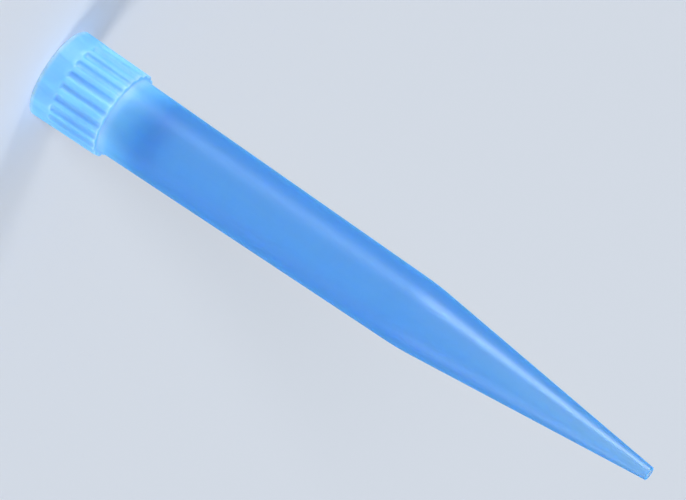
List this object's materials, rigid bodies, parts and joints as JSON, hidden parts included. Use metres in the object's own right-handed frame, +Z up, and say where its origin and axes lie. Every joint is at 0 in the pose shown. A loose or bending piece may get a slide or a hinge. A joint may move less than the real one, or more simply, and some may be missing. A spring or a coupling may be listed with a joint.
{
  "type": "pipette tip",
  "caption": "Long tapered disposable pipette tip in translucent sky-blue plastic, with a ribbed collar round its mouth and a fine orifice.",
  "frame": {"origin": "centre of the mouth's rim, on the plane that the tip stands on", "axes": "+Z up the axis of the tip, from the mouth to the orifice; +X through the middle of one groove of the collar"},
  "size_m": [0.0094, 0.0094, 0.071],
  "materials": {
    "polypropylene": "satin"
  },
  "bodies": {
    "root": {"pipette_tip": "polypropylene"}
  },
  "joints": []
}
